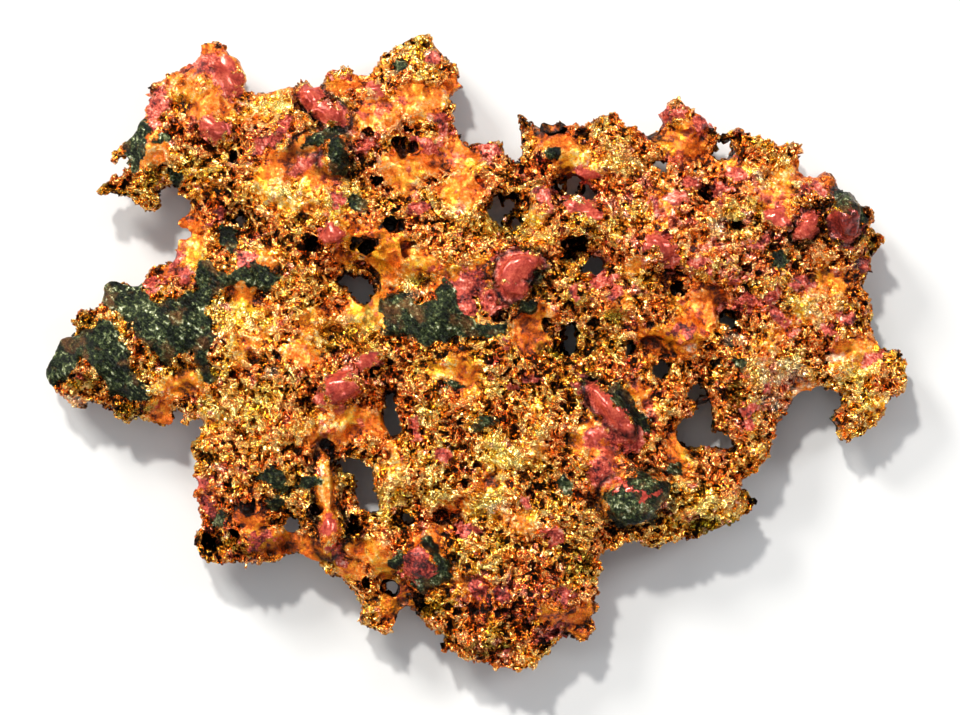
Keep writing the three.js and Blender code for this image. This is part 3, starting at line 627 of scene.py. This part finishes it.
def paint_map(piece):
    """Stores every finish's map on the piece. The underside gets the same places, turned half round."""
    mesh = piece.data
    places = np.empty(len(mesh.vertices) * 3, np.float32)
    mesh.vertices.foreach_get("co", places)
    places = places.reshape(-1, 3)
    still = places[:, :2] * np.where(places[:, 2:3] < UNDERSIDE_LEVEL, -1.0, 1.0)
    flat = warped(still)
    plates = np.max([depth_in_corners(flat, corners) for corners in PLATES], axis=0)
    lumps = deepest(still, [lump[:5] for lump in LUMPS])
    proud = deepest(still, [lump[:5] for lump in LUMPS if lump[5] >= PROUD])
    drift = np.array([noise.noise(Vector(place) * FLOW_SCALE) for place in places])
    maps = {
        "plate": to_map(np.maximum(plates, deepest(flat, DARK_SPOTS))),
        "skin": to_map(deepest(flat, RED_SKINS)),
        "smooth": to_map(deepest(flat, SMOOTH_COPPER)),
        "lump": to_map(lumps, 0.3),
        # the ring round each proud lump, which the finish darkens as painted shadow
        "moat": np.clip(1.0 - np.abs(proud + 0.5 * MOAT_WIDTH) / (0.5 * MOAT_WIDTH), 0.0, 1.0),
        "pale": soft_map(flat, PALE),
        "olive": soft_map(flat, OLIVE),
        "blush": soft_map(flat, BLUSHING),
        "gold": soft_map(flat, GOLD),
        "brown": soft_map(flat, BROWN),
    }
    maps["flow"] = np.clip(np.maximum(1.4 * maps["smooth"] - 0.2, 0.5 + 2.6 * (drift - FLOW_LEVEL)), 0.0, 1.0)
    maps["flow"] *= 1.0 - 0.7 * maps["gold"]
    maps["calm"] = np.maximum.reduce([maps["plate"], 0.75 * maps["skin"], to_map(lumps + 0.1)])
    for name, values in maps.items():
        store(mesh, name, values)


paint_map(body)
print("painted:", sorted(a.name for a in body.data.attributes if a.data_type == "FLOAT"))

# %% [markdown]
# ## The hackly surface
#
# Broken and grown copper is hackly: ridges, hooks and knobs a few tenths of a millimetre across, with pores
# between them. One node graph moves every vertex along its normal by a sum of patterns, from millimetre
# folds down to small knobs, and a second pattern pushes it sideways so that some knobs overhang. Plates and
# skins are calm, so the map turns all of it down there.

# %% Moving the skin with a node graph
TOP_ROOM = 0.14  # how far the surface may rise past the solid's top
TOP_LEVEL = cad_high.z / unit + TOP_ROOM
EASE = 0.3  # the surface slows down over this much height below its top


def geometry_tree(name):
    """A Geometry Nodes tree with its input, its output and a Graph to fill it with."""
    tree = bpy.data.node_groups.new(name, "GeometryNodeTree")
    tree.interface.new_socket("Geometry", in_out="INPUT", socket_type="NodeSocketGeometry")
    tree.interface.new_socket("Geometry", in_out="OUTPUT", socket_type="NodeSocketGeometry")
    graph = Graph(tree)
    start = graph.add("NodeGroupInput").outputs[0]
    end = graph.add("NodeGroupOutput").inputs[0]
    return tree, graph, start, end


def named(graph, name):
    return graph.add("GeometryNodeInputNamedAttribute", {"Name": name}, data_type="FLOAT").outputs[0]


def stored(graph, shape, name, value):
    """The shape, with a value kept at each of its points under this name."""
    values = {"Geometry": shape, "Name": name, "Value": value}
    return graph.add("GeometryNodeStoreNamedAttribute", values, data_type="FLOAT", domain="POINT").outputs[0]


def hackle_tree():
    tree, graph, start, end = geometry_tree("hackle")
    place = graph.add("GeometryNodeInputPosition").outputs[0]
    normal = graph.add("GeometryNodeInputNormal").outputs[0]
    calm = named(graph, "calm")
    rough = graph.remap(calm, 0.35, 0.75, 1.0, 0.2, "SMOOTHSTEP")
    facing = graph.math("ABSOLUTE", graph.height_of(normal))
    rim = graph.remap(facing, 0.25, 0.75, 1.0, 0.0, "SMOOTHSTEP")
    hackly = graph.math("SUBTRACT", 1.0, named(graph, "flow"))
    spongy = graph.remap(graph.noise(place, 0.42, 2.0), 0.45, 0.60, 0.25, 1.0, "SMOOTHSTEP")
    spongy = graph.times(spongy, hackly)

    lump = graph.centred(graph.noise(place, 0.5, 2.0))
    worm = graph.math("ABSOLUTE", graph.centred(graph.noise(place, 0.85, 2.0, 0.45)))
    fold = graph.remap(worm, 0.0, 0.14, 1.0, 0.0)
    knob = graph.remap(graph.cells(place, 2.3), 0.0, 0.75, 1.0, 0.0)
    small_knob = graph.remap(graph.cells(place, 4.4), 0.0, 0.8, 1.0, 0.0)
    pore = graph.remap(graph.cells(place, 1.15), 0.10, 0.27, 1.0, 0.0, "SMOOTHSTEP")

    height = graph.times(lump, 1.3)
    height = graph.plus(height, fold, 0.12)
    height = graph.plus(height, knob, graph.mix(0.06, 0.17, hackly))
    height = graph.plus(height, small_knob, graph.mix(0.06, 0.14, hackly))
    height = graph.plus(height, graph.times(pore, spongy), -0.32)
    height = graph.math("SUBTRACT", height, 0.20)
    height = graph.times(height, graph.mix(rough, graph.times(rough, 0.6), rim))
    height = graph.plus(height, rim, -0.15)

    swirl = graph.add("ShaderNodeTexNoise", {"Vector": place, "Scale": 2.4, "Detail": 3.0}).outputs["Color"]
    sideways = graph.vector("SUBTRACT", swirl, (0.5, 0.5, 0.5))
    sway = graph.mix(graph.times(rough, graph.mix(0.25, 0.5, hackly)), 0.28, rim)
    sideways = graph.vector("SCALE", sideways, sway)
    outward = graph.vector("SCALE", normal, height)
    moved = graph.vector("ADD", place, graph.vector("ADD", outward, sideways))

    # the surface eases towards the top and never goes past it, nor below the ground
    over = graph.math("MAXIMUM", graph.math("SUBTRACT", graph.height_of(moved), TOP_LEVEL - EASE), 0.0)
    eased = graph.math("SUBTRACT", 1.0, graph.math("EXPONENT", graph.times(over, -1.0 / EASE)))
    level = graph.math("MINIMUM", graph.height_of(moved), TOP_LEVEL - EASE)
    level = graph.plus(level, eased, EASE)
    level = graph.math("MAXIMUM", level, 0.0)
    values = {"Geometry": start, "Position": graph.at_height(moved, level)}
    graph.put(end, graph.add("GeometryNodeSetPosition", values).outputs[0])
    return tree


def hollow_tree():
    """Stores how far each vertex lies below its smoothed surroundings, over three reaches, and how far its
    wide surroundings face up; the finish paints shade from these.
    """
    tree, graph, start, end = geometry_tree("hollow")
    place = graph.add("GeometryNodeInputPosition").outputs[0]
    normal = graph.add("GeometryNodeInputNormal").outputs[0]
    values = {"Value": normal, "Iterations": 40}
    wide_normal = graph.add("GeometryNodeBlurAttribute", values, data_type="FLOAT_VECTOR")
    shape = stored(graph, start, "facing", graph.height_of(wide_normal.outputs[0]))
    for name, rounds in (("crack", 3), ("hollow", 12), ("deep", 70)):
        values = {"Value": place, "Iterations": rounds}
        blurred = graph.add("GeometryNodeBlurAttribute", values, data_type="FLOAT_VECTOR").outputs[0]
        below = graph.vector("DOT_PRODUCT", graph.vector("SUBTRACT", blurred, place), normal)
        shape = stored(graph, shape, name, below)
    graph.put(end, shape)
    return tree


def triangle_count(piece):
    piece.data.calc_loop_triangles()
    return len(piece.data.loop_triangles)


MOST_TRIANGLES = 198_000

apply_modifier(body, "NODES", node_group=hackle_tree())
apply_modifier(body, "DECIMATE", ratio=MOST_TRIANGLES / triangle_count(body))
paint_map(body)
apply_modifier(body, "NODES", node_group=hollow_tree())
print(f"the hackly body has {triangle_count(body)} triangles")

# %% [markdown]
# ## The crystals, hooks and flakes
#
# On the real nugget the copper ends in thousands of tiny crystals, hooked wires and flakes, each only a few
# tenths of a millimetre long. Four small shapes are modelled once, and a node graph strews copies of them
# over the rough parts of the body, sunk a little into it, each turned and sized by a seeded dice. They carry
# the body's map with them, so a crystal on a red skin is red.

# %% The four small shapes


def crystal():
    """A blunt, uneven crystal of twenty faces."""
    bpy.ops.mesh.primitive_ico_sphere_add(subdivisions=1, radius=0.5)
    bpy.ops.object.mode_set(mode="EDIT")
    bpy.ops.transform.vertex_random(offset=0.22, seed=3)
    bpy.ops.transform.resize(value=(1.25, 0.85, 0.9))
    bpy.ops.object.mode_set(mode="OBJECT")


def splinter():
    """A pointed crystal, bent once."""
    bpy.ops.mesh.primitive_cone_add(vertices=5, radius1=0.32, radius2=0.2, depth=0.6, location=(0, 0, 0.1))
    bpy.ops.object.mode_set(mode="EDIT")
    select_above(0.3)
    bpy.ops.mesh.extrude_region_move(TRANSFORM_OT_translate={"value": (0.2, 0.05, 0.35)})
    bpy.ops.transform.resize(value=(0.35, 0.35, 0.35))
    bpy.ops.mesh.select_all(action="SELECT")
    bpy.ops.transform.vertex_random(offset=0.08, seed=8)
    bpy.ops.object.mode_set(mode="OBJECT")


def hook():
    """A wire curled through most of a half circle."""
    bpy.ops.mesh.primitive_circle_add(vertices=5, radius=0.15, fill_type="NGON", location=(0.38, 0, 0))
    bpy.ops.object.mode_set(mode="EDIT")
    bpy.ops.mesh.select_all(action="SELECT")
    bpy.ops.mesh.spin(steps=4, angle=math.radians(165), center=(0, 0, 0), axis=(0, 1, 0))
    bpy.ops.mesh.select_all(action="SELECT")
    bpy.ops.transform.vertex_random(offset=0.07, seed=5)
    bpy.ops.mesh.normals_make_consistent(inside=False)
    bpy.ops.object.mode_set(mode="OBJECT")


def flake():
    """A thin leaf with an uneven edge."""
    bpy.ops.mesh.primitive_cylinder_add(vertices=6, radius=0.5, depth=0.16)
    bpy.ops.object.mode_set(mode="EDIT")
    bpy.ops.transform.vertex_random(offset=0.16, seed=11)
    bpy.ops.transform.resize(value=(1.1, 0.8, 1.0))
    bpy.ops.object.mode_set(mode="OBJECT")


def select_above(level):
    """In edit mode, selects only the faces whose middles are above a level."""
    bpy.ops.mesh.select_all(action="DESELECT")
    bpy.ops.object.mode_set(mode="OBJECT")
    piece = bpy.context.object
    for face in piece.data.polygons:
        face.select = (piece.matrix_world @ face.center).z > level
    bpy.ops.object.mode_set(mode="EDIT")


def small_shape(make):
    bpy.ops.object.select_all(action="DESELECT")
    make()
    bpy.ops.object.transform_apply(location=True, rotation=True, scale=True)
    shape = bpy.context.object
    apply_modifier(shape, "TRIANGULATE")
    print(f"{make.__name__}: {triangle_count(shape)} triangles")
    return shape


# %% Strewing them over the body
ON_SKINS = 0.12  # how thickly they stand on a red skin, against bare copper


def strewn_tree(shape, count_per_area, smallest, largest, sunk, seed):
    """Copies of one small shape over the body's rough skin."""
    tree, graph, start, end = geometry_tree("strewn")
    calm = graph.remap(named(graph, "plate"), 0.35, 0.6, 1.0, 0.0)
    calm = graph.times(calm, graph.remap(named(graph, "skin"), 0.35, 0.65, 1.0, ON_SKINS))
    calm = graph.times(calm, graph.remap(named(graph, "flow"), 0.2, 0.8, 1.0, 0.03))
    calm = graph.times(calm, graph.remap(named(graph, "lump"), 0.0, 0.6, 1.0, 0.0))
    under = graph.height_of(graph.add("GeometryNodeInputNormal").outputs[0])
    faces_up = graph.remap(under, -0.6, 0.0, 0.35, 1.0)
    density = graph.times(graph.times(calm, faces_up), count_per_area)
    values = {"Mesh": start, "Density": density, "Seed": seed}
    points = graph.add("GeometryNodeDistributePointsOnFaces", values)

    def dice(low, high, number, data_type="FLOAT"):
        made = graph.add("FunctionNodeRandomValue", data_type=data_type)
        first = {"FLOAT_VECTOR": 0, "FLOAT": 2}[data_type]
        graph.put(made.inputs[first], low)
        graph.put(made.inputs[first + 1], high)
        graph.put(made.inputs["Seed"], number)
        return made.outputs[{"FLOAT_VECTOR": 0, "FLOAT": 1}[data_type]]

    tinted = stored(graph, points.outputs["Points"], "tint", dice(-0.6, 1.4, seed + 1))
    lean = dice((-0.9, -0.9, -math.pi), (0.9, 0.9, math.pi), seed + 2, "FLOAT_VECTOR")
    turned = graph.add("FunctionNodeRotateRotation", {0: points.outputs["Rotation"], 1: lean})
    turned.rotation_space = "LOCAL"
    size = dice(0.0, 1.0, seed + 3)
    size = graph.remap(graph.math("POWER", size, 2.0), 0.0, 1.0, smallest, largest)
    info = graph.add("GeometryNodeObjectInfo")
    info.inputs["Object"].default_value = shape
    values = {"Points": tinted, "Instance": info.outputs["Geometry"]}
    values |= {"Rotation": turned.outputs[0], "Scale": size}
    copies = graph.add("GeometryNodeInstanceOnPoints", values).outputs[0]
    down = graph.add("ShaderNodeCombineXYZ", {2: graph.times(size, -sunk)}).outputs[0]
    values = {"Instances": copies, "Translation": down}
    copies = graph.add("GeometryNodeTranslateInstances", values).outputs[0]
    copies = graph.add("GeometryNodeRealizeInstances", {"Geometry": copies}).outputs[0]
    place = graph.add("GeometryNodeInputPosition").outputs[0]
    above_ground = graph.math("MAXIMUM", graph.height_of(place), 0.0)
    values = {"Geometry": copies, "Position": graph.at_height(place, above_ground)}
    graph.put(end, graph.add("GeometryNodeSetPosition", values).outputs[0])
    return tree


def strew(name, make, count_per_area, smallest, largest, sunk, seed):
    """A piece of many copies of one small shape, none of it below the ground."""
    shape = small_shape(make)
    piece = bpy.data.objects.new(name, body.data.copy())
    bpy.context.scene.collection.objects.link(piece)
    tree = strewn_tree(shape, count_per_area, smallest, largest, sunk, seed)
    apply_modifier(piece, "NODES", node_group=tree)
    bpy.data.objects.remove(shape)
    print(f"{name}: {triangle_count(piece)} triangles")
    return piece


# how many to a square millimetre, smallest and largest size, how far it is sunk for its size, seed
strewn = [
    strew("crystals", crystal, 7.6, 0.12, 0.42, 0.16, 21),
    strew("splinters", splinter, 1.8, 0.14, 0.36, 0.16, 35),
    strew("hooks", hook, 0.7, 0.15, 0.36, 0.10, 47),
    strew("flakes", flake, 7.6, 0.14, 0.48, 0.12, 59),
]

# %% [markdown]
# ## The finish
#
# One shader makes the whole nugget, because its finishes run into each other. Bare copper is a metal whose
# colour wanders from brown through orange to pale gold, crystal by crystal. Red skins are a glossy oxide,
# and the plates are dark, scratched and only partly metallic. The map says where each one is. Two sizes of
# tilted facets roughen the relief, and a brown stretch dulls both the copper and the red.
# Cracks, hollows, the moats round the lumps and faces that turn from the top are given painted shade: their
# colour is darkened.

# %% The copper and its skins
GOLD_TONES = [
    (0.0, (0.016, 0.008, 0.003)),
    (0.22, (0.23, 0.085, 0.007)),
    (0.45, (0.76, 0.28, 0.005)),
    (0.65, (1.0, 0.49, 0.008)),
    (0.85, (1.0, 0.67, 0.045)),
    (1.0, (1.0, 0.80, 0.28)),
]
ORANGE_TONES = [
    (0.0, (0.016, 0.006, 0.003)),
    (0.22, (0.22, 0.036, 0.008)),
    (0.45, (0.72, 0.12, 0.006)),
    (0.65, (0.94, 0.21, 0.010)),
    (0.85, (1.0, 0.34, 0.055)),
    (1.0, (1.0, 0.56, 0.23)),
]
RED_TONES = [
    (0.0, (0.030, 0.010, 0.010)),
    (0.28, (0.16, 0.020, 0.017)),
    (0.55, (0.50, 0.056, 0.036)),
    (0.8, (0.82, 0.15, 0.085)),
    (1.0, (0.95, 0.46, 0.36)),
]
PLATE_TONES = [
    (0.0, (0.001, 0.002, 0.001)),
    (0.4, (0.010, 0.018, 0.005)),
    (0.65, (0.050, 0.070, 0.020)),
    (0.83, (0.24, 0.27, 0.11)),
    (1.0, (0.75, 0.78, 0.56)),
]


def tilted_facets(graph, place, count):
    """The height of flat facets, each tilted its own way, this many to a millimetre; and a dice for each."""
    cells = graph.add("ShaderNodeTexVoronoi", {"Vector": place, "Scale": count})
    tilt = graph.vector("SUBTRACT", cells.outputs["Color"], (0.5, 0.5, 0.5))
    across = graph.vector("SUBTRACT", place, cells.outputs["Position"])
    dice = graph.add("ShaderNodeSeparateColor", {0: cells.outputs["Color"]}).outputs[0]
    return graph.vector("DOT_PRODUCT", across, tilt), dice


def nugget_finish():
    material = bpy.data.materials.new("native_copper")
    material.use_nodes = True
    tree = material.node_tree
    shader = tree.nodes["Principled BSDF"]
    graph = Graph(tree)

    def mapped(name):
        return graph.add("ShaderNodeAttribute", attribute_name=name).outputs["Fac"]

    place = graph.add("ShaderNodeTexCoord").outputs["Object"]
    place = graph.vector("SCALE", place, 1.0 / unit)
    drift = graph.noise(place, 0.7, 3.0)
    grain = graph.noise(place, 3.0, 4.0, 0.65)
    crystal_hue = graph.add("ShaderNodeSeparateColor", {0: graph.cells(place, 4.5, output="Color")})
    fine = graph.noise(place, 9.0, 3.0, 0.65)
    facets, _ = tilted_facets(graph, place, 6.0)
    small_facets, small_hue = tilted_facets(graph, place, 12.0)

    # how bright the copper is, from its crystals and from the stretch it is in, less the painted shade in its
    # cracks and hollows and where it faces away from the top
    hackly = graph.math("SUBTRACT", 1.0, mapped("flow"))
    cell = graph.centred(crystal_hue.outputs[0])
    tone = graph.times(graph.centred(grain), graph.mix(0.8, 1.5, hackly))
    tone = graph.plus(tone, cell, graph.mix(0.15, 0.5, hackly))
    tone = graph.plus(tone, graph.centred(fine), graph.mix(0.4, 1.6, hackly))
    tone = graph.plus(tone, graph.centred(small_hue), graph.mix(0.25, 0.95, hackly))
    tone = graph.plus(tone, graph.centred(drift), 0.8)
    tone = graph.plus(tone, mapped("gold"), 0.20)
    tone = graph.plus(tone, mapped("brown"), -0.26)
    tone = graph.plus(tone, mapped("tint"), 0.25)
    # painted shade: the copper is darker in cracks, hollows and deep places, and on faces that turn away from
    # the top
    painted_shade = graph.times(graph.remap(mapped("crack"), -0.01, 0.04), graph.mix(0.2, 0.7, hackly))
    painted_shade = graph.plus(painted_shade, graph.remap(mapped("hollow"), 0.0, 0.10), graph.mix(0.1, 0.25, hackly))
    painted_shade = graph.plus(painted_shade, graph.remap(mapped("deep"), 0.1, 0.6), 0.3)
    painted_shade = graph.plus(painted_shade, graph.remap(mapped("facing"), 0.0, 0.6, 1.0, 0.0), 0.40)
    painted_shade = graph.times(painted_shade, graph.mix(1.0, 0.65, mapped("gold")))
    tone = graph.math("SUBTRACT", tone, painted_shade)
    tone = graph.math("ADD", tone, graph.mix(0.75, 0.93, hackly))
    gold = graph.ramp(tone, GOLD_TONES)
    orange = graph.ramp(tone, ORANGE_TONES)
    family = graph.times(graph.centred(graph.noise(place, 0.75, 4.0, 0.55)), 3.4)
    family = graph.plus(family, mapped("gold"), 0.45)
    family = graph.plus(family, mapped("flow"), -0.30)
    family = graph.plus(family, mapped("blush"), -0.25)
    family = graph.plus(family, graph.centred(crystal_hue.outputs[2]), 0.3)
    family = graph.remap(graph.math("ADD", family, 0.42), 0.0, 1.0)
    copper = graph.blend(orange, gold, family)
    olive = graph.blend(copper, (0.42, 0.46, 0.20, 1.0), 1.0, "MULTIPLY")
    patches = graph.times(graph.centred(graph.noise(place, 1.4, 4.0, 0.6)), 2.0)
    copper = graph.blend(copper, olive, graph.remap(graph.math("ADD", mapped("olive"), patches), 0.4, 0.8))
    pale = graph.remap(graph.math("ADD", mapped("pale"), patches), 0.45, 0.75, 0.0, 0.7)
    copper = graph.blend(copper, (0.95, 0.82, 0.62, 1.0), graph.times(pale, graph.remap(grain, 0.35, 0.6)))

    # a pink and red blush on the copper
    blush = graph.noise(place, 1.2, 5.0, 0.6)
    blush = graph.plus(blush, crystal_hue.outputs[1], 0.06)
    blush = graph.plus(blush, mapped("blush"), 0.07)
    blush = graph.remap(blush, 0.635, 0.69, 0.0, 0.85)
    blush_tone = graph.ramp(graph.math("SUBTRACT", tone, 0.08), RED_TONES)
    copper = graph.blend(copper, blush_tone, blush)

    # the red skins and the dark plates, with ragged borders
    wander = graph.times(graph.centred(graph.noise(place, 1.8, 5.0, 0.65)), 3.0)
    skin_depth = graph.math("ADD", mapped("skin"), wander)
    is_skin = graph.remap(skin_depth, 0.46, 0.58)
    is_plate = graph.remap(graph.math("ADD", mapped("plate"), graph.times(wander, 0.5)), 0.46, 0.54)
    is_plate = graph.times(is_plate, graph.remap(skin_depth, 0.7, 0.8, 1.0, 0.0))

    red_tone = graph.times(graph.centred(graph.noise(place, 2.2, 5.0, 0.65)), 2.6)
    red_tone = graph.plus(red_tone, graph.centred(fine), 1.6)
    red_tone = graph.times(red_tone, graph.remap(mapped("lump"), 0.2, 1.0, 1.0, 0.4))
    red_tone = graph.plus(red_tone, mapped("brown"), -0.26)
    red = graph.ramp(graph.math("ADD", red_tone, 0.58), RED_TONES)

    turned = graph.add("ShaderNodeVectorRotate", {"Vector": place, "Angle": math.radians(42)}).outputs[0]
    stretched = graph.vector("MULTIPLY", turned, (0.7, 3.0, 1.0))
    scratch = graph.noise(stretched, 2.2, 4.0, 0.7)
    speck = graph.noise(place, 5.0, 4.0, 0.75)
    worn = graph.remap(graph.noise(place, 0.55, 2.0), 0.42, 0.6, 0.8, 2.6)
    plate_tone = graph.times(graph.centred(speck), 2.8)
    plate_tone = graph.plus(plate_tone, graph.centred(scratch), worn)
    plate_tone = graph.plus(plate_tone, graph.centred(graph.noise(place, 1.2, 3.0)), 1.5)
    plate = graph.ramp(graph.math("ADD", plate_tone, 0.40), PLATE_TONES)
    rust = graph.remap(graph.noise(place, 0.8, 4.0, 0.6), 0.54, 0.64, 0.0, 0.85)
    plate = graph.blend(plate, (0.24, 0.085, 0.022, 1.0), graph.times(rust, speck))

    # all of them together, with painted shade: darker in the deep hollows and painted shadow in the moats
    # round the lumps
    colour = graph.blend(copper, red, is_skin)
    colour = graph.blend(colour, plate, is_plate)
    shadow = graph.remap(mapped("deep"), 0.1, 0.7, 1.0, 0.15)
    shadow = graph.times(shadow, graph.remap(mapped("moat"), 0.0, 0.8, 1.0, 0.06))
    shade = graph.add("ShaderNodeCombineColor", {0: shadow, 1: shadow, 2: shadow}).outputs[0]
    colour = graph.blend(colour, shade, 1.0, "MULTIPLY")
    graph.put(shader.inputs["Base Color"], colour)

    # how metallic and how glossy each finish is, and its finest relief
    metal = graph.mix(0.55, 0.95, hackly)
    metal = graph.mix(metal, 0.3, is_skin)
    metal = graph.mix(metal, 0.65, is_plate)
    graph.put(shader.inputs["Metallic"], metal)
    gloss = graph.math("ADD", graph.remap(fine, 0.3, 0.7, 0.24, 0.08), graph.mix(0.15, 0.0, hackly))
    gloss = graph.mix(gloss, graph.remap(mapped("lump"), 0.2, 1.0, 0.16, 0.09), is_skin)
    gloss = graph.mix(gloss, graph.remap(scratch, 0.35, 0.65, 0.40, 0.18), is_plate)
    graph.put(shader.inputs["Roughness"], gloss)
    shader.inputs["IOR"].default_value = 1.48

    relief = graph.times(facets, graph.mix(4.0, 16.0, hackly))
    relief = graph.plus(relief, small_facets, graph.mix(3.0, 14.0, hackly))
    relief = graph.plus(relief, fine, 0.5)
    skin_relief = graph.times(fine, graph.remap(mapped("lump"), 0.2, 1.0, 0.6, 0.15))
    relief = graph.mix(relief, skin_relief, is_skin)
    worn_relief = graph.plus(graph.math("ADD", scratch, speck), small_facets, 14.0)
    relief = graph.mix(relief, worn_relief, is_plate)
    bump = graph.add("ShaderNodeBump", {"Height": relief, "Strength": 1.0, "Distance": 0.06 * unit})
    graph.put(shader.inputs["Normal"], bump.outputs[0])
    return material


finish = nugget_finish()

# %% [markdown]
# ## Setting the pieces down
#
# Each piece goes back to metres with its object at the origin and rides on the frame's body.

# %% The pieces and the floor


def set_down(piece, sharp_angle):
    piece.data.transform(Matrix.Scale(unit, 4))
    piece.data.materials.clear()
    piece.data.materials.append(finish)
    make_active(piece)
    bpy.ops.object.shade_smooth_by_angle(angle=math.radians(sharp_angle))
    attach(piece, "root")


set_down(body, sharp_angle=40)
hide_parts("copper_nugget")
for piece in strewn:
    set_down(piece, sharp_angle=5)

bpy.ops.mesh.primitive_plane_add(size=3.0)
floor = bpy.context.object
floor.name = "floor"
sheet = bpy.data.materials.new("pale_sheet")
sheet.use_nodes = True
sheet.node_tree.nodes["Principled BSDF"].inputs["Base Color"].default_value = (0.80, 0.81, 0.82, 1.0)
sheet.node_tree.nodes["Principled BSDF"].inputs["Roughness"].default_value = 0.8
floor.data.materials.append(sheet)
floor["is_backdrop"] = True

# %% Comparing the sizes, and finishing
low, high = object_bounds()
past = (*((cad_low - low) / MM), *((high - cad_high) / MM))
print("past the solid's box, in mm:", [round(value, 2) for value in past])
